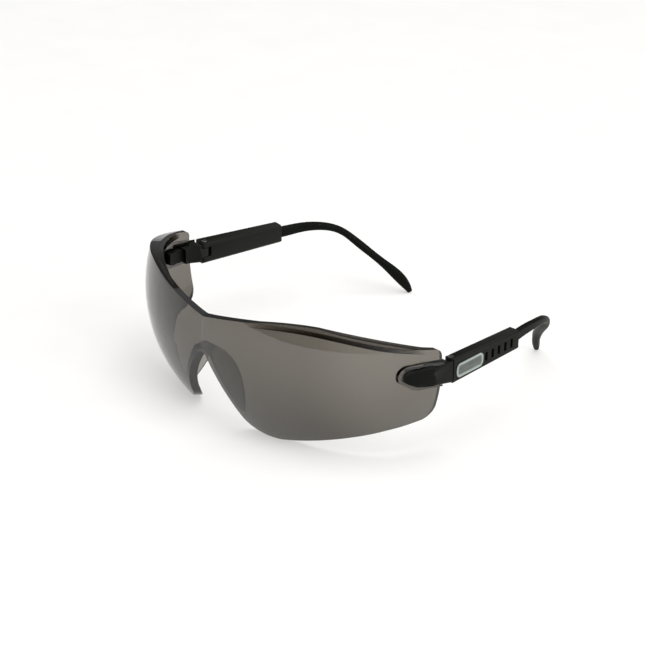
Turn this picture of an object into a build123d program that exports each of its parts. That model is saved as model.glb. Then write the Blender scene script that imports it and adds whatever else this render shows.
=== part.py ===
from build123d import *
import os
from math import asin, cos, degrees, radians, sin, tan

# Safety glasses with a one-piece wrap-round lens and length-adjustable side arms.
# Millimetres. +Z is up, the lens faces -Y, and X = 0 is the plane of symmetry.
# The wearer's left is +X. The left side is modelled, and the right side is its mirror image.
# The glasses stand on the two lens lobes and the two arm tips, at Z = 0.

# ---- Where things are ----
hinge_x = 66.0  # hinge axis to the plane of symmetry
hinge_y = -12.5  # puts the origin midway between the lens front and the arm tips
hinge_z = 29.7  # middle of the hinge's height
sleeve_toe_in = 6.3  # degrees that each sleeve leans inwards, towards the back

# ---- Lens ----
lens_thickness = 2.2
lens_rear = hinge_y - 6.9
bulge_radius = 53.7  # of the lens from top to bottom
bulge_height = 32.8  # height at which the lens stands furthest out
front_radius = 70.4  # of each lobe in plan, measured at that height
front_centre = (6.6, hinge_y + 14.6)
front_end = 48.0  # degrees from straight ahead where the front arc ends
corner_radius = 35.5
corner_end = 76.5
side_radius = 75.0
side_end = 90.0
outline_turn = 38.0  # the lobe's outline is cut square to this direction

# ---- Brow ledge along the top of each lobe ----
ledge_height = 2.4
ledge_radius = 95.0  # of its rear edge, in plan
ledge_centre = (-15.6, hinge_y + 37.1)
ledge_reach = 9.0  # how far behind the lens surface the ledge may go

# ---- Nose bridge ----
arch_top = 29.0
arch_half_width = 3.2  # of its flat top
arch_slope = 60.5  # degrees that its sides stand from level
arch_corner = 2.6
bridge_thickness = 1.6
bridge_back = hinge_y - 45.6

# ---- End piece: pad on the lens, outer cover, inner hinge block, pegs through the lens ----
cover_thickness = 2.2
cover_rounding = 0.9
pad_thickness = 1.1  # of the raised pad on the lens, round the cover
pad_width = 1.7  # how far the pad shows round the cover's tip
tongue_tip = hinge_y - 24.4
seam_y = hinge_y - 2.1  # where the cover stops and the sleeve starts
jaw_thickness = 1.6
jaw_inset = 2.4  # the jaw is this much smaller all round than the pad
jaw_front = hinge_y - 19.2
block_depth = 2.9
block_drop = 0.8  # how far the block lies below and above the sleeve at the rear
block_front = hinge_y - 11.4
block_back = hinge_y - 2.9
peg_radius = 1.1
peg_play = 0.05
peg_reach = 1.1  # into the cover
peg_spots = ((hinge_y - 16.5, 32.8), (hinge_y - 9.0, 30.4))

# ---- Hinge ----
barrel_radius = 1.7
barrel_half_height = 1.7
barrel_play = 0.2
screw_radius = 0.8
screw_play = 0.05
screw_head_radius = 1.2
screw_head_height = 0.8
screw_head_sink = 0.9
screw_slot = 0.4
screw_end = -3.9  # below the middle of the hinge

# ---- Sleeve, in its own frame: X outwards, Y along it, Z up from the middle of the hinge ----
sleeve_inner = -1.8
sleeve_outer = 3.1
sleeve_front = -1.7
sleeve_back = 34.8
front_top = 4.4
front_bottom = -4.5
back_top = 3.1
back_bottom = -4.1
bore_start = 4.2
bore_inner = -0.85
bore_outer = 1.75
bore_middle = -0.5
bore_half_height = 2.45
notch_count = 5
notch_pitch = 3.6
first_notch = 16.2
notch_width = 1.4
notch_height = 3.4
track_depth = 0.55
track_half_height = 1.3

# ---- Badge plate on the sleeve ----
badge_middle = 7.0
badge_length = 14.6
badge_height = 5.2
badge_corner = 1.9
badge_thickness = 0.6
badge_recess = 0.4
badge_rim = 0.8
badge_groove = 0.15

# ---- Arm: a bar inside the sleeve, then a blade that hooks down and inwards ----
bar_start = 5.4
bar_play = 0.2
bar_half_height = 2.2
click_height = 0.4
click_length = 1.0
# Places along the blade, from the hinge: X outwards, Y back, then the height above the ground,
# the blade's depth and its thickness.
blade = (
    ((61.2, 41.0, 29.3), 4.1, 2.2),
    ((59.8, 47.5, 29.1), 3.6, 2.3),
    ((57.7, 54.1, 28.1), 3.1, 2.6),
    ((54.6, 60.3, 25.6), 2.7, 3.1),
    ((51.7, 63.9, 22.3), 2.6, 3.5),
    ((47.5, 67.5, 18.0), 2.6, 3.6),
    ((41.9, 71.8, 12.7), 3.0, 3.4),
    ((37.6, 75.6, 7.8), 4.2, 3.0),
    ((35.7, 77.9, 4.4), 3.8, 2.7),
    ((34.4, 79.9, 0.6), 2.0, 1.8),
)


def out_from(centre, reach, angle):
    """The point at a distance from a plan centre, angle in degrees from straight ahead."""
    return (centre[0] + reach * sin(radians(angle)), centre[1] - reach * cos(radians(angle)))


def plan_arcs():
    """The three arcs of the lens in plan: centre, radius, first and last angle."""
    joint = out_from(front_centre, front_radius - corner_radius, front_end)
    side = out_from(joint, corner_radius - side_radius, corner_end)
    return [
        (front_centre, front_radius, -12.0, front_end),
        (joint, corner_radius, front_end, corner_end),
        (side, side_radius, corner_end, side_end),
    ]


def curved_wall(inner, outer, low=-3.0, high=52.0, arcs=None):
    """A wall that follows the lens, between two offsets from its outer surface."""
    first = degrees(asin((low - bulge_height) / bulge_radius))
    last = degrees(asin((high - bulge_height) / bulge_radius))
    wall = None
    for centre, radius, start, stop in arcs or plan_arcs():
        heading = (sin(radians(start)), -cos(radians(start)), 0)
        across = (-cos(radians(start)), -sin(radians(start)), 0)
        section_plane = Plane(origin=(centre[0], centre[1], 0), x_dir=heading, z_dir=across)
        middle = (radius - bulge_radius, bulge_height)
        outer_arc = CenterArc(middle, bulge_radius + outer, first, last - first)
        inner_arc = CenterArc(middle, bulge_radius + inner, first, last - first)
        ends = [Line(outer_arc @ k, inner_arc @ k) for k in (0, 1)]
        section = section_plane * make_face([outer_arc, inner_arc] + ends)
        axis = Axis((centre[0], centre[1], 0), (0, 0, 1))
        piece = revolve(section, axis=axis, revolution_arc=stop - start)
        wall = piece if wall is None else wall + piece
    return wall


def left_half(shape):
    """What lies on the wearer's left of the plane of symmetry."""
    return shape & Pos(100, 0, 0) * Box(200, 400, 200)


def both_halves(shape):
    """The left half and its mirror image as one solid."""
    return shape + mirror(shape, about=Plane.YZ)


def lobe_outline():
    """One lobe of the lens, seen square to the outline's own direction, as a flat face."""
    shift = hinge_y * sin(radians(outline_turn))
    bottom = FilletPolyline(
        (shift - 36.5, arch_top),
        (shift - 33.1, arch_top),
        (shift - 13.5, -2.31),
        (shift + 33.3, 10.9),
        (shift + 60.0, 15.3),
        (shift + 60.0, 36.0),
        radius=[2.6, 14.0, 60.0, 1.0],
    )
    top = Spline(
        (shift + 60.0, 36.0),
        (shift + 46.8, 40.3),
        (shift + 26.8, 45.0),
        (shift + 4.8, 48.0),
        (shift - 16.2, 46.2),
        (shift - 36.5, 41.1),
    )
    close = Line(top @ 1, bottom @ 0)
    return make_face([bottom, top, close])


def rear_outline():
    """The lobe's rounded rear corners, seen from the side, as a flat face."""
    corners = FilletPolyline(
        (hinge_y - 80.0, 58.6),
        (lens_rear, 39.4),
        (lens_rear, 13.2),
        (lens_rear - 14.0, 11.1),
        (hinge_y - 60.0, -10.0),
        (hinge_y - 80.0, -10.0),
        radius=[2.6, 5.5, 20.0, 1.0],
    )
    return make_face([corners, Line(corners @ 1, corners @ 0)])


def lobe_block():
    """The lobe's outline made solid, to cut the lens from."""
    turn = radians(outline_turn)
    facing = Plane(origin=(0, 0, 0), x_dir=(cos(turn), sin(turn), 0), z_dir=(sin(turn), -cos(turn), 0))
    return extrude(facing * lobe_outline(), amount=130, both=True)


def pad():
    """The raised pad on the lens, rooted in its wall and open where the cover lies."""
    ring = side_block(tongue_face()) - side_block(cover_face())
    return curved_wall(-lens_thickness / 2, pad_thickness) & ring


def make_lens():
    block = lobe_block() & side_block(rear_outline(), 80)
    lobe = (curved_wall(-lens_thickness, 0) & block) + (pad() & block)
    ledge = (curved_wall(-ledge_reach, -lens_thickness / 2) & block) - Pos(0, 0, -ledge_height) * block
    hollow = Pos(ledge_centre[0], ledge_centre[1], 0) * Cylinder(ledge_radius, 200)
    lobe = lobe + (ledge - hollow)
    for y, z in peg_spots:
        lobe = lobe - Pos(hinge_x, y, z) * Rot(0, 90, 0) * Cylinder(peg_radius + peg_play, 16)
    return both_halves(left_half(lobe))


def nose_arch(offset):
    """The nose arch seen from the front, grown outwards by an offset, as a flat face."""
    slope = radians(arch_slope)
    shoulder_x = arch_half_width + offset * (1 - cos(slope)) / sin(slope)
    foot_z = -6.0
    foot_x = shoulder_x + (arch_top + offset - foot_z) / tan(slope)
    outline = FilletPolyline(
        (0, arch_top + offset),
        (shoulder_x, arch_top + offset),
        (foot_x, foot_z),
        (0, foot_z),
        radius=[arch_corner + offset, 0.2],
    )
    return make_face([outline, Line(outline @ 1, outline @ 0)])


def make_nose_bridge():
    """A saddle round the nose arch, with a flange that runs back from the lens on each side."""
    front_plane = Plane(origin=(0, 0, 0), x_dir=(1, 0, 0), z_dir=(0, -1, 0))
    outer = extrude(front_plane * nose_arch(bridge_thickness), amount=100)
    inner = extrude(front_plane * nose_arch(0), amount=100)
    band = outer - inner
    side_plane = Plane(origin=(0, 0, 0), x_dir=(0, 1, 0), z_dir=(1, 0, 0))
    profile = Spline(
        (hinge_y - 60, arch_top + bridge_thickness + 0.6),
        (hinge_y - 50, arch_top + bridge_thickness),
        (bridge_back, 24.0),
        (bridge_back - 0.4, 15.0),
        (hinge_y - 50, 5.0),
    )
    back = make_face([profile, Polyline(profile @ 1, (hinge_y - 60, 5.0), profile @ 0)])
    band = band & extrude(side_plane * back, amount=40, both=True)
    front_arc = [plan_arcs()[0]]
    core = curved_wall(-30, -lens_thickness, arcs=front_arc)
    return both_halves(left_half(band & core))


def tongue_face(inset=0.0, rear_inset=None):
    """The end piece's outline from the side: a rounded tongue that narrows to the sleeve."""
    rear = inset if rear_inset is None else rear_inset
    top = 36.8
    outline = FilletPolyline(
        (seam_y + 2, hinge_z + front_top - rear),
        (hinge_y - 14.5, top - inset),
        (tongue_tip + inset, top - inset),
        (tongue_tip + inset, 31.4),
        (hinge_y - 18.6, 27.4 + inset),
        (hinge_y - 10.0, 26.6 + (inset + rear) / 2),
        (seam_y + 2, hinge_z + front_bottom + rear),
        radius=[12.0, 3.8 - 0.8 * inset, 2.2 - 0.3 * inset, 4.0, 30.0],
    )
    return make_face([outline, Line(outline @ 1, outline @ 0)])


def cover_face():
    """The cover's outline: inside the pad at the tip, and as high as the sleeve at the rear."""
    return tongue_face(pad_width, 0.0)


def side_block(face, reach=30):
    """A side view made solid."""
    side_plane = Plane(origin=(hinge_x, 0, 0), x_dir=(0, 1, 0), z_dir=(1, 0, 0))
    return extrude(side_plane * face, amount=reach, both=True)


def between(low_y, high_y):
    """A slab that keeps what lies between two distances from the front."""
    return Pos(0, (low_y + high_y) / 2, 0) * Box(300, high_y - low_y, 300)


def on_hinge(height=0.0):
    """A place on the hinge axis, at a height from the hinge's middle."""
    return Pos(hinge_x, hinge_y, hinge_z + height)


def sleeve_frame():
    """The sleeve's own frame: X outwards, Y along it."""
    return on_hinge() * Rot(0, 0, sleeve_toe_in)


def pegs():
    """The two pegs that join the cover to the hinge block through the lens."""
    rods = [Pos(hinge_x, y, z) * Rot(0, 90, 0) * Cylinder(peg_radius, 16) for y, z in peg_spots]
    reach = curved_wall(-lens_thickness - jaw_thickness, peg_reach)
    return [rod & reach for rod in rods]


def without_pegs(shape):
    for peg in pegs():
        shape = shape - peg
    return shape


def make_end_cover():
    """The outer tongue, round along its edges and flush with the sleeve."""
    cover = curved_wall(0, cover_thickness) & side_block(cover_face())
    flush = sleeve_frame() * Pos(sleeve_outer - 50, 0, 0) * Box(100, 200, 200)
    cover = cover & flush & between(tongue_tip - 1, seam_y)
    skin = max(cover.faces().sort_by(SortBy.AREA)[-2:], key=lambda face: face.center().X)
    rim = skin.edges().filter_by(lambda edge: edge.center().Y < seam_y - 0.3)
    return without_pegs(fillet(rim, cover_rounding))


def make_hinge_block():
    """The inner jaw on the lens, the block behind the lens's edge and the hinge's barrel."""
    inside = -lens_thickness
    jaw = curved_wall(inside - jaw_thickness, inside) & side_block(tongue_face(jaw_inset))
    jaw = jaw & between(jaw_front, block_back)
    outline = side_block(tongue_face(jaw_inset, block_drop))
    post = curved_wall(inside - block_depth, inside) & outline & between(block_front, block_back)
    closing = curved_wall(inside - block_depth, 0) & outline & between(lens_rear, block_back)
    barrel = on_hinge() * Cylinder(barrel_radius, 2 * barrel_half_height)
    web_length = hinge_y - block_back + 0.4
    web = on_hinge() * Pos(-0.2, -web_length / 2, 0)
    web = web * Box(2 * barrel_radius - 0.4, web_length, 2 * barrel_half_height)
    block = jaw + post + closing + barrel + web
    block = block - on_hinge() * Cylinder(screw_radius + screw_play, 20)
    return without_pegs(block)


def make_pegs():
    return Compound(children=[peg.solids()[0] for peg in pegs()])


def make_hinge_screw():
    """A slotted screw, put in from above."""
    head_low = front_top - screw_head_sink
    head_middle = head_low + screw_head_height / 2
    head = on_hinge(head_middle) * Cylinder(screw_head_radius, screw_head_height)
    head = fillet(head.edges().group_by(Axis.Z)[-1], 0.25)
    shank_length = head_low - screw_end
    shank = on_hinge(screw_end + shank_length / 2) * Cylinder(screw_radius, shank_length)
    slot_height = head_low + screw_head_height
    slot = on_hinge(slot_height) * Box(4, screw_slot, 0.7)
    return head + shank - slot


def make_sleeve():
    """The hollow sleeve: hinge cheeks, badge recess, arm bore and a row of click notches."""
    profile = Polyline(
        (sleeve_front, front_top),
        (sleeve_back, back_top),
        (sleeve_back, back_bottom),
        (sleeve_front, front_bottom),
        close=True,
    )
    side = Plane(origin=(sleeve_inner, 0, 0), x_dir=(0, 1, 0), z_dir=(1, 0, 0))
    sleeve = extrude(side * make_face(profile), amount=sleeve_outer - sleeve_inner)
    sleeve = chamfer(sleeve.edges().filter_by(lambda e: e.length > 30 and e.center().X > 0), 0.5)
    sleeve = chamfer(sleeve.edges().filter_by(lambda e: e.length > 30 and e.center().X < 0), 0.8)
    nose = sleeve & Pos(0, sleeve_front / 2, 0) * Box(20, -sleeve_front, 20)
    round_nose = nose & (Cylinder(-sleeve_inner, 20) + Pos(5, 0, 0) * Box(10, 10, 20))
    sleeve = (sleeve - nose) + round_nose
    bore_width = bore_outer - bore_inner
    bore_x = (bore_outer + bore_inner) / 2
    bore = Pos(bore_x, (bore_start + 60) / 2, bore_middle)
    sleeve = sleeve - bore * Box(bore_width, 60 - bore_start, 2 * bore_half_height)
    track_start = first_notch - 2
    track_end = first_notch + notch_count * notch_pitch
    track = Pos(bore_outer, (track_start + track_end) / 2, bore_middle)
    sleeve = sleeve - track * Box(2 * track_depth, track_end - track_start, 2 * track_half_height)
    for count in range(notch_count):
        notch = Pos(sleeve_outer, first_notch + count * notch_pitch, bore_middle)
        sleeve = sleeve - notch * Box(2 * (sleeve_outer - bore_outer), notch_width, notch_height)
    recess = Pos(sleeve_outer, badge_middle, bore_middle)
    sleeve = sleeve - recess * badge_blank(2 * badge_recess)
    sleeve = sleeve_frame() * sleeve
    gap_half = barrel_half_height + barrel_play
    knuckle_gap = Cylinder(barrel_radius + barrel_play, 2 * gap_half)
    front_gap = Pos(-5 + barrel_radius + 0.1, -3, 0) * Box(10, 6, 2 * gap_half)
    side_gap = Pos(-4, -1.25, 0) * Box(8, 6.3, 2 * gap_half)
    sleeve = sleeve - on_hinge() * (knuckle_gap + front_gap + side_gap)
    sleeve = sleeve - on_hinge((front_top + screw_end) / 2) * Cylinder(screw_radius, front_top - screw_end)
    head_seat = on_hinge(front_top - screw_head_sink + 1) * Cylinder(screw_head_radius + 0.05, 2)
    return sleeve - head_seat


def badge_blank(thickness, inset=0.0):
    """A plain plate with well rounded corners, standing upright on the sleeve's side."""
    upright = Plane(origin=(-thickness / 2, 0, 0), x_dir=(0, 1, 0), z_dir=(1, 0, 0))
    length = badge_length - 2 * inset
    height = badge_height - 2 * inset
    return extrude(upright * RectangleRounded(length, height, badge_corner - inset), amount=thickness)


def make_badge():
    """A blank plate with a raised rim."""
    field = Pos(badge_thickness / 2, 0, 0) * badge_blank(2 * badge_groove, badge_rim)
    plate = badge_blank(badge_thickness) - field
    seat = sleeve_outer - badge_recess + badge_thickness / 2
    return sleeve_frame() * Pos(seat, badge_middle, bore_middle) * plate


def blade_points():
    """The blade's middle line, from the end of the bar to the tip."""
    start = sleeve_frame() * Pos((bore_inner + bore_outer) / 2, sleeve_back + 0.5, bore_middle)
    return [start.position] + [Vector(x, hinge_y + y, z) for (x, y, z), _, _ in blade]


def make_arm():
    """The bar that slides in the sleeve, with its click, and the hooked blade behind it."""
    bar_inner = bore_inner + bar_play
    bar_outer = bore_outer - bar_play
    thickness = bar_outer - bar_inner
    bar_end = sleeve_back + 0.5
    bar = Pos((bar_inner + bar_outer) / 2, (bar_start + bar_end) / 2, bore_middle)
    bar = bar * Box(thickness, bar_end - bar_start, 2 * bar_half_height)
    click = Pos(bar_outer, first_notch, bore_middle) * Box(2 * click_height, click_length, 2.0)
    path = Spline(blade_points())
    sizes = [(2 * bar_half_height, thickness)] + [(deep, thick) for _, deep, thick in blade]
    stations = [path.param_at_point(point) for point in blade_points()]
    sections = []
    for (deep, thick), station in zip(sizes, stations):
        plane = Plane(origin=path @ station, x_dir=blade_side(path % station), z_dir=path % station)
        sections.append(plane * RectangleRounded(thick, deep, 0.42 * min(deep, thick)))
    hook = loft(sections)
    return sleeve_frame() * (bar + click) + hook


def blade_side(heading):
    """The level direction square to the blade."""
    return Vector(heading.Y, -heading.X, 0).normalized()


def write_node(name, shape):
    export_step(shape, "parts/" + name + ".step")
    box = shape.bounding_box()
    print(name, len(shape.solids()), round(shape.volume, 1), box.min, box.max)


centre_parts = {"lens": make_lens, "nose_bridge": make_nose_bridge}
side_parts = {
    "end_cover": make_end_cover,
    "hinge_block": make_hinge_block,
    "cover_pegs": make_pegs,
    "hinge_screw": make_hinge_screw,
    "sleeve": make_sleeve,
    "badge": make_badge,
    "arm": make_arm,
}

os.makedirs("parts", exist_ok=True)
for name, maker in centre_parts.items():
    write_node(name, maker())
for name, maker in side_parts.items():
    left = maker()
    write_node("left_" + name, left)
    write_node("right_" + name, mirror(left, about=Plane.YZ))
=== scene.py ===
from math import cos, pi, radians, sin

import bmesh
import bpy
from mathutils import Matrix, Vector


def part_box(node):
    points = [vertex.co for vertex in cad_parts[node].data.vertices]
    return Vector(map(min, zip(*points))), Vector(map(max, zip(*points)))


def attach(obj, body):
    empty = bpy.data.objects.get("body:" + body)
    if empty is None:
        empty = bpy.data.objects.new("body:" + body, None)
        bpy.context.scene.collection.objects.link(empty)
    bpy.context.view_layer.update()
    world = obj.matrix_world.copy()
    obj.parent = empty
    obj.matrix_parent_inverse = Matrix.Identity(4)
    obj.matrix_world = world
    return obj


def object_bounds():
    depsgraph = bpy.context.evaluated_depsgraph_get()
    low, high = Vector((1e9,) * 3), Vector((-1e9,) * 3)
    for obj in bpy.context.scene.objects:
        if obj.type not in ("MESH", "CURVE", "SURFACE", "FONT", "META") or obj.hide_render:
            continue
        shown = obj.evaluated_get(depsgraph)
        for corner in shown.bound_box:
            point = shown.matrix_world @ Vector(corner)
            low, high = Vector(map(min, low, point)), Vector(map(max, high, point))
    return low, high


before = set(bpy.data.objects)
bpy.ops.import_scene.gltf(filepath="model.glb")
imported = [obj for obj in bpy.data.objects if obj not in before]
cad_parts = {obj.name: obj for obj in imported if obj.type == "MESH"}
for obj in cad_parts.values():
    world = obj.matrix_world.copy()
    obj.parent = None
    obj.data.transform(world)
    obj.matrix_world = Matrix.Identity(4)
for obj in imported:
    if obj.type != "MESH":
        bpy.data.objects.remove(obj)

# Safety glasses on a white table. Metres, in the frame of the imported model.
# The lens faces -Y, +Z is up, and the wearer's left is +X.

CAD_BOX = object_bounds()
SIDES = ("left", "right")

# ---- Camera ----
CAMERA_AZIMUTH = 47.4
CAMERA_ELEVATION = 25.0
CAMERA_ROLL = 1.0
CAMERA_DISTANCE = 0.8007
CAMERA_LENS = 122.2
CAMERA_SENSOR = 36.0
AIM_LEFT = 0.0084  # how far the aim lies left of the object's middle, square to the view
AIM_DOWN = 0.0043

# ---- Studio ----
FLOOR_SIZE = 6.0
WORLD_COLOUR = (1.0, 1.0, 1.0)
WORLD_STRENGTH = 0.62
TABLE_COLOURS = ((0.44, 0.438, 0.433), (0.46, 0.457, 0.452))
TABLE_FIBRE = 40.0
TABLE_ROUGHNESS = 0.7
TABLE_GLOW_COLOUR = (1.0, 0.995, 0.98)
TABLE_GLOW = 0.44  # the table is lit from below as well, as on a light table, so shadows stay soft
# Two cards that only the glossy pieces see: how far each stands towards the camera or away from it,
# how wide and high it is, how far its foot is above the table, its glow from left to right, and
# where across its width the glow changes.
CARDS = {
    "front_card": (0.42, (2.4, 1.3), 0.0, (0.0, 1.5), (0.44, 0.72)),
    "rear_card": (-1.6, (5.0, 1.7), 0.06, (0.16, 0.16), (0.0, 1.0)),
}
# Each light: where it is, how wide and deep it is, its power in watts and its colour.
LIGHTS = {
    "overhead": ((0.15, -0.1, 1.5), (1.3, 1.3), 17.0, (1.0, 0.995, 0.98)),
    "right_fill": ((1.2, 0.1, 0.7), (0.7, 0.7), 7.0, (1.0, 0.99, 0.97)),
}

# ---- Smoke plastics ----
LENS_INDEX = 1.586
LENS_DENSITY = 900.0
# Painted light and shade on the lens: its surface colour is darker low down and in the middle, and
# paler at the top and at the sides, standing in for how it is lit and what it mirrors. The lens's
# own tint is the even absorption below.
PAINTED_SHADE_BASE = 0.45
PAINTED_LIGHT_HEIGHTS = (0.004, 0.044)
PAINTED_LIGHT_RISE = 0.34
PAINTED_LIGHT_WIDTHS = (0.040, 0.062)
PAINTED_LIGHT_SIDE = 0.27
LENS_ABSORPTION = (0.17, 0.12, 0.04)
LENS_ROUGHNESS = (0.0, 0.03)
BRIDGE_DENSITY = 900.0
BRIDGE_ABSORPTION = (0.20, 0.17, 0.08)
BRIDGE_ROUGHNESS = (0.04, 0.12)
WIPE_SCALE = 60.0  # of the faint smears left by wiping

# ---- Black plastic ----
SATIN_COLOURS = ((0.0014, 0.0021, 0.0012), (0.0034, 0.0044, 0.0027))
SATIN_WORN = (0.016, 0.017, 0.014)
SATIN_ROUGHNESS = (0.36, 0.5)
SATIN_SPECULAR = 0.075
WEAR_RANGE = (0.53, 0.62)  # of how sharp an edge is, from unworn to worn
CLOUD_SCALE = 90.0
GRAIN_SCALE = 5200.0
GRAIN_STRENGTH = 0.3
GRAIN_DEPTH = 0.00004
EDGE_ROUNDING = 0.0003

# ---- Grey plastic of the badge and its inlay ----
BADGE_COLOURS = ((0.24, 0.28, 0.25), (0.33, 0.375, 0.345))
INLAY_COLOURS = ((0.055, 0.064, 0.058), (0.11, 0.125, 0.115))
BRUSH_SCALE = 1800.0
BRUSH_STRETCH = (1.0, 0.06, 1.0)
BRUSH_ROUGHNESS = (0.28, 0.42)
BRUSH_STRENGTH = 0.25
BRUSH_DEPTH = 0.00003

# ---- Steel of the hinge screws ----
STEEL_COLOURS = ((0.20, 0.20, 0.195), (0.34, 0.34, 0.33))
STEEL_GRAIN = 2600.0
STEEL_ROUGHNESS = (0.24, 0.4)

# ---- Badge inlay: a ribbed plate in the badge's recess ----
TOE_IN = 6.3  # degrees that the sleeves lean inwards
BADGE_THICKNESS = 0.0006
INLAY_MARGIN = 0.001  # from the badge's edge to the inlay's
INLAY_CORNER = 0.0009
INLAY_FOOT = 0.00017  # how far below the badge's rim the inlay starts
INLAY_FACE = 0.00010  # and how far below it the inlay's face lies
INLAY_BEVEL = 0.00002
MERGE_DISTANCE = 0.0000001  # corner points this close together are one point
RIB_COUNT = 4
RIB_WIDTH = 0.0003
RIB_TOP = 0.00003  # how far below the badge's rim the ribs end
RIB_SPAN = 0.9  # how much of the inlay's height the ribs are spread over
CORNER_STEPS = 6


# ---------------------------------------------------------------- node helpers


def new_material(name):
    """A material with a bare node tree. Returns it, its nodes, its links and its output."""
    material = bpy.data.materials.new(name)
    material.use_nodes = True
    nodes = material.node_tree.nodes
    nodes.clear()
    return material, nodes, material.node_tree.links, nodes.new("ShaderNodeOutputMaterial")


def noise(nodes, links, scale, detail=4.0, stretch=(1.0, 1.0, 1.0)):
    """Noise in the object's own coordinates, so that it moves with its piece."""
    place = nodes.new("ShaderNodeTexCoord")
    mapping = nodes.new("ShaderNodeMapping")
    mapping.inputs["Scale"].default_value = stretch
    texture = nodes.new("ShaderNodeTexNoise")
    texture.inputs["Scale"].default_value = scale
    texture.inputs["Detail"].default_value = detail
    links.new(place.outputs["Object"], mapping.inputs["Vector"])
    links.new(mapping.outputs["Vector"], texture.inputs["Vector"])
    return texture.outputs["Fac"]


def ramp(nodes, links, source, low, high, start=0.3, stop=0.7):
    """Maps a factor onto two colours."""
    node = nodes.new("ShaderNodeValToRGB")
    node.color_ramp.elements[0].position = start
    node.color_ramp.elements[0].color = (*low, 1)
    node.color_ramp.elements[1].position = stop
    node.color_ramp.elements[1].color = (*high, 1)
    links.new(source, node.inputs["Fac"])
    return node.outputs["Color"]


def spread(nodes, links, source, low, high):
    """Maps a factor onto a range of values."""
    node = nodes.new("ShaderNodeMapRange")
    node.inputs["To Min"].default_value = low
    node.inputs["To Max"].default_value = high
    links.new(source, node.inputs["Value"])
    return node.outputs["Result"]


def bump(nodes, links, source, strength, depth):
    node = nodes.new("ShaderNodeBump")
    node.inputs["Strength"].default_value = strength
    node.inputs["Distance"].default_value = depth
    links.new(source, node.inputs["Height"])
    return node.outputs["Normal"]


# ---------------------------------------------------------------- materials


def painted_light_grade(nodes, links):
    """How much painted light the lens's colour gets, from the height and from the distance to the
    nose: painted shade low down and in the middle, painted light at the top and the sides.
    """
    place = nodes.new("ShaderNodeTexCoord")
    split = nodes.new("ShaderNodeSeparateXYZ")
    links.new(place.outputs["Object"], split.inputs["Vector"])
    aside = nodes.new("ShaderNodeMath")
    aside.operation = "ABSOLUTE"
    links.new(split.outputs["X"], aside.inputs[0])
    up = spread(nodes, links, split.outputs["Z"], PAINTED_SHADE_BASE, PAINTED_SHADE_BASE + PAINTED_LIGHT_RISE)
    side = spread(nodes, links, aside.outputs[0], 0.0, PAINTED_LIGHT_SIDE)
    for source, (start, stop) in ((up, PAINTED_LIGHT_HEIGHTS), (side, PAINTED_LIGHT_WIDTHS)):
        source.node.interpolation_type = "SMOOTHSTEP"
        source.node.inputs["From Min"].default_value = start
        source.node.inputs["From Max"].default_value = stop
    total = nodes.new("ShaderNodeMath")
    total.use_clamp = True
    links.new(up, total.inputs[0])
    links.new(side, total.inputs[1])
    return total.outputs[0]


def smoke_plastic(name, density, absorption, roughness, with_painted_light=False):
    """Tinted clear plastic: the tint comes from how much of it the light passes through. With
    painted light switched on, its surface colour also carries painted shade low down and in the
    middle and painted light at the top and the sides.
    """
    material, nodes, links, output = new_material(name)
    surface = nodes.new("ShaderNodeBsdfPrincipled")
    surface.inputs["Base Color"].default_value = (1, 1, 1, 1)
    surface.inputs["IOR"].default_value = LENS_INDEX
    surface.inputs["Transmission Weight"].default_value = 1.0
    # Painted light and shade: the surface colour is paler at the top and sides and darker low down
    # and in the middle.
    if with_painted_light:
        links.new(painted_light_grade(nodes, links), surface.inputs["Base Color"])
    wipe = noise(nodes, links, WIPE_SCALE, 5.0)
    links.new(spread(nodes, links, wipe, *roughness), surface.inputs["Roughness"])
    volume = nodes.new("ShaderNodeVolumeAbsorption")
    volume.inputs["Color"].default_value = (*absorption, 1)
    volume.inputs["Density"].default_value = density
    links.new(surface.outputs["BSDF"], output.inputs["Surface"])
    links.new(volume.outputs["Volume"], output.inputs["Volume"])
    return material


def satin_black():
    """Moulded nylon: a fine spark-eroded grain, slightly worn and paler along its edges."""
    material, nodes, links, output = new_material("satin_black")
    surface = nodes.new("ShaderNodeBsdfPrincipled")
    cloud = noise(nodes, links, CLOUD_SCALE, 3.0)
    grain = noise(nodes, links, GRAIN_SCALE, 2.0)
    base = ramp(nodes, links, cloud, *SATIN_COLOURS)
    edge = nodes.new("ShaderNodeNewGeometry")
    worn = ramp(nodes, links, edge.outputs["Pointiness"], (0, 0, 0), (1, 1, 1), *WEAR_RANGE)
    mix = nodes.new("ShaderNodeMix")
    mix.data_type = "RGBA"
    colours = {socket.name: socket for socket in mix.inputs if socket.type == "RGBA"}
    links.new(worn, mix.inputs[0])
    links.new(base, colours["A"])
    colours["B"].default_value = (*SATIN_WORN, 1)
    blended = next(socket for socket in mix.outputs if socket.type == "RGBA")
    links.new(blended, surface.inputs["Base Color"])
    links.new(spread(nodes, links, cloud, *SATIN_ROUGHNESS), surface.inputs["Roughness"])
    surface.inputs["Specular IOR Level"].default_value = SATIN_SPECULAR
    rounded = nodes.new("ShaderNodeBevel")
    rounded.inputs["Radius"].default_value = EDGE_ROUNDING
    grained = bump(nodes, links, grain, GRAIN_STRENGTH, GRAIN_DEPTH)
    links.new(rounded.outputs["Normal"], grained.node.inputs["Normal"])
    links.new(grained, surface.inputs["Normal"])
    links.new(surface.outputs["BSDF"], output.inputs["Surface"])
    return material


def badge_plastic(name, dark, pale):
    """Grey satin plastic with a fine lengthwise brush."""
    material, nodes, links, output = new_material(name)
    surface = nodes.new("ShaderNodeBsdfPrincipled")
    brush = noise(nodes, links, BRUSH_SCALE, 3.0, BRUSH_STRETCH)
    colour = ramp(nodes, links, brush, dark, pale)
    links.new(colour, surface.inputs["Base Color"])
    links.new(spread(nodes, links, brush, *BRUSH_ROUGHNESS), surface.inputs["Roughness"])
    links.new(bump(nodes, links, brush, BRUSH_STRENGTH, BRUSH_DEPTH), surface.inputs["Normal"])
    links.new(surface.outputs["BSDF"], output.inputs["Surface"])
    return material


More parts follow.
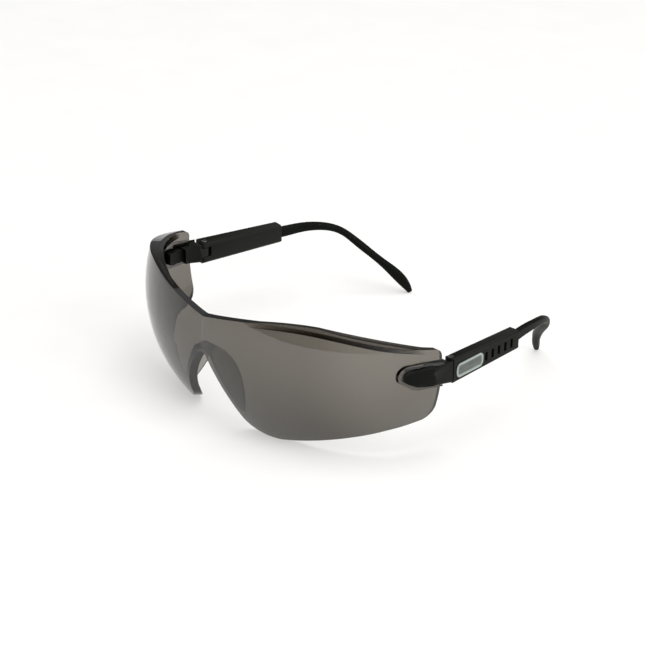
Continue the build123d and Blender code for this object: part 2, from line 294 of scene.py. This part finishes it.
def turned_steel():
    """Screw steel, with a fine uneven grain."""
    material, nodes, links, output = new_material("turned_steel")
    surface = nodes.new("ShaderNodeBsdfPrincipled")
    surface.inputs["Metallic"].default_value = 1.0
    grain = noise(nodes, links, STEEL_GRAIN, 2.0)
    colour = ramp(nodes, links, grain, *STEEL_COLOURS)
    links.new(colour, surface.inputs["Base Color"])
    links.new(spread(nodes, links, grain, *STEEL_ROUGHNESS), surface.inputs["Roughness"])
    links.new(surface.outputs["BSDF"], output.inputs["Surface"])
    return material


def paper_white():
    material, nodes, links, output = new_material("table_white")
    surface = nodes.new("ShaderNodeBsdfPrincipled")
    fibre = noise(nodes, links, TABLE_FIBRE)
    colour = ramp(nodes, links, fibre, *TABLE_COLOURS)
    links.new(colour, surface.inputs["Base Color"])
    surface.inputs["Roughness"].default_value = TABLE_ROUGHNESS
    surface.inputs["Emission Color"].default_value = (*TABLE_GLOW_COLOUR, 1)
    surface.inputs["Emission Strength"].default_value = TABLE_GLOW
    links.new(surface.outputs["BSDF"], output.inputs["Surface"])
    return material


def card_shade(name, glow, change):
    """An even or graded glow across a card, from its left to its right."""
    material, nodes, links, output = new_material(name)
    place = nodes.new("ShaderNodeTexCoord")
    split = nodes.new("ShaderNodeSeparateXYZ")
    links.new(place.outputs["Generated"], split.inputs["Vector"])
    light = nodes.new("ShaderNodeEmission")
    strength = spread(nodes, links, split.outputs["X"], *glow)
    strength.node.inputs["From Min"].default_value = change[0]
    strength.node.inputs["From Max"].default_value = change[1]
    links.new(strength, light.inputs["Strength"])
    links.new(light.outputs["Emission"], output.inputs["Surface"])
    return material


def finish_nodes():
    """Gives every node of the model its material."""
    satin = satin_black()
    finishes = {
        # The lens's surface colour carries painted light and shade.
        "lens": smoke_plastic("smoke_lens", LENS_DENSITY, LENS_ABSORPTION, LENS_ROUGHNESS, True),
        "nose_bridge": smoke_plastic(
            "smoke_bridge", BRIDGE_DENSITY, BRIDGE_ABSORPTION, BRIDGE_ROUGHNESS
        ),
    }
    kinds = {
        "end_cover": satin,
        "hinge_block": satin,
        "cover_pegs": satin,
        "hinge_screw": turned_steel(),
        "sleeve": satin,
        "badge": badge_plastic("badge_grey", *BADGE_COLOURS),
        "arm": satin,
    }
    for side in SIDES:
        for kind, material in kinds.items():
            finishes[side + "_" + kind] = material
    for name, material in finishes.items():
        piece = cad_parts[name]
        for place in piece.material_slots:
            place.material = material


# ---------------------------------------------------------------- badge inlays


def rounded_outline(length, height, corner):
    """A rectangle with round corners, as points in order."""
    points = []
    for turn, (along, up) in enumerate([(1, 1), (-1, 1), (-1, -1), (1, -1)]):
        for step in range(CORNER_STEPS + 1):
            angle = (turn + step / CORNER_STEPS) * pi / 2
            points.append((
                along * (length / 2 - corner) + corner * cos(angle),
                up * (height / 2 - corner) + corner * sin(angle),
            ))
    return points


def add_slab(form, outline, middle, low, high):
    """Adds a flat slab with this outline, between two heights."""
    rings = []
    for height in (low, high):
        rings.append([form.verts.new((along, up + middle, height)) for along, up in outline])
    form.faces.new(rings[0][::-1])
    form.faces.new(rings[1])
    for first in range(len(outline)):
        second = (first + 1) % len(outline)
        form.faces.new((rings[0][first], rings[0][second], rings[1][second], rings[1][first]))


def make_inlay(side, material):
    """A plate with lengthwise ribs, which lies in the recess of one badge."""
    low, high = (Vector(corner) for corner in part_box(side + "_badge"))
    lean = radians(TOE_IN)
    outward = 1 if side == "left" else -1
    length = (high.y - low.y - BADGE_THICKNESS * sin(lean)) / cos(lean) - 2 * INLAY_MARGIN
    height = high.z - low.z - 2 * INLAY_MARGIN
    top = BADGE_THICKNESS / 2
    form = bmesh.new()
    plate = rounded_outline(length, height, INLAY_CORNER)
    add_slab(form, plate, 0, top - INLAY_FOOT, top - INLAY_FACE)
    rib = rounded_outline(length - 2 * INLAY_CORNER, RIB_WIDTH, RIB_WIDTH / 2)
    for count in range(RIB_COUNT):
        middle = RIB_SPAN * height * ((count + 0.5) / RIB_COUNT - 0.5)
        add_slab(form, rib, middle, top - INLAY_FOOT, top - RIB_TOP)
    along = Vector((-outward * sin(lean), cos(lean), 0))
    out = Vector((outward * cos(lean), sin(lean), 0))
    centre = (low + high) / 2
    for vertex in form.verts:
        u, v, w = vertex.co
        vertex.co = centre + along * u + Vector((0, 0, v)) + out * w
    bmesh.ops.remove_doubles(form, verts=form.verts, dist=MERGE_DISTANCE)
    bmesh.ops.recalc_face_normals(form, faces=form.faces)
    mesh = bpy.data.meshes.new(side + "_badge_inlay")
    form.to_mesh(mesh)
    form.free()
    mesh.materials.append(material)
    inlay = bpy.data.objects.new(side + "_badge_inlay", mesh)
    bpy.context.scene.collection.objects.link(inlay)
    soften = inlay.modifiers.new("soften", "BEVEL")
    soften.width = INLAY_BEVEL
    soften.segments = 2
    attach(inlay, side + "_temple")


def make_inlays():
    grey = badge_plastic("inlay_grey", *INLAY_COLOURS)
    for side in SIDES:
        make_inlay(side, grey)


# ---------------------------------------------------------------- studio


def view_axes():
    """The camera's own right, up and back directions."""
    turn, lift = radians(CAMERA_AZIMUTH), radians(CAMERA_ELEVATION)
    back = Vector((sin(turn) * cos(lift), -cos(turn) * cos(lift), sin(lift)))
    level = Vector((cos(turn), sin(turn), 0))
    upright = back.cross(level)
    roll = radians(CAMERA_ROLL)
    right = level * cos(roll) + upright * sin(roll)
    return right, back.cross(right), back


def make_camera():
    right, up, back = view_axes()
    middle = (CAD_BOX[0] + CAD_BOX[1]) / 2
    aim = middle - right * AIM_LEFT - up * AIM_DOWN
    data = bpy.data.cameras.new("camera")
    data.lens = CAMERA_LENS
    data.sensor_width = CAMERA_SENSOR
    camera = bpy.data.objects.new("camera", data)
    camera.matrix_world = Matrix((
        (right.x, up.x, back.x, 0),
        (right.y, up.y, back.y, 0),
        (right.z, up.z, back.z, 0),
        (0, 0, 0, 1),
    ))
    camera.location = aim + back * CAMERA_DISTANCE
    bpy.context.scene.collection.objects.link(camera)
    bpy.context.scene.camera = camera


def flat_sheet(name, corners, material):
    """A four-cornered sheet that belongs to the studio, not to the object."""
    mesh = bpy.data.meshes.new(name)
    mesh.from_pydata([tuple(corner) for corner in corners], [], [(0, 1, 2, 3)])
    mesh.materials.append(material)
    sheet = bpy.data.objects.new(name, mesh)
    bpy.context.scene.collection.objects.link(sheet)
    return sheet


def make_table():
    half = FLOOR_SIZE / 2
    low = CAD_BOX[0].z
    corners = [(-half, -half, low), (half, -half, low), (half, half, low), (-half, half, low)]
    flat_sheet("table", corners, paper_white())


def make_cards():
    """Sets up the cards, which take no light from the table and cast no shadow."""
    turn = radians(CAMERA_AZIMUTH)
    towards = Vector((sin(turn), -cos(turn), 0))
    level = Vector((cos(turn), sin(turn), 0))
    for name, (distance, (width, height), lift, glow, change) in CARDS.items():
        foot = towards * distance + Vector((0, 0, CAD_BOX[0].z + lift))
        half = level * width / 2
        rise = Vector((0, 0, height))
        corners = [foot - half, foot + half, foot + half + rise, foot - half + rise]
        card = flat_sheet(name, corners, card_shade(name, glow, change))
        card.visible_camera = False
        card.visible_diffuse = False
        card.visible_shadow = False
        card.visible_transmission = False


def area_light(name, place, size, power, colour):
    data = bpy.data.lights.new(name, "AREA")
    data.shape = "RECTANGLE"
    data.size, data.size_y = size
    data.energy = power
    data.color = colour
    light = bpy.data.objects.new(name, data)
    light.location = place
    light.rotation_euler = (-Vector(place)).to_track_quat("-Z", "Y").to_euler()
    bpy.context.scene.collection.objects.link(light)


def make_lights():
    world = bpy.data.worlds.new("studio")
    world.use_nodes = True
    background = world.node_tree.nodes["Background"]
    background.inputs["Color"].default_value = (*WORLD_COLOUR, 1)
    background.inputs["Strength"].default_value = WORLD_STRENGTH
    bpy.context.scene.world = world
    for name, (place, size, power, colour) in LIGHTS.items():
        area_light(name, place, size, power, colour)
    bpy.context.scene.view_settings.view_transform = "Standard"


make_camera()
make_table()
make_cards()
make_lights()
finish_nodes()
make_inlays()
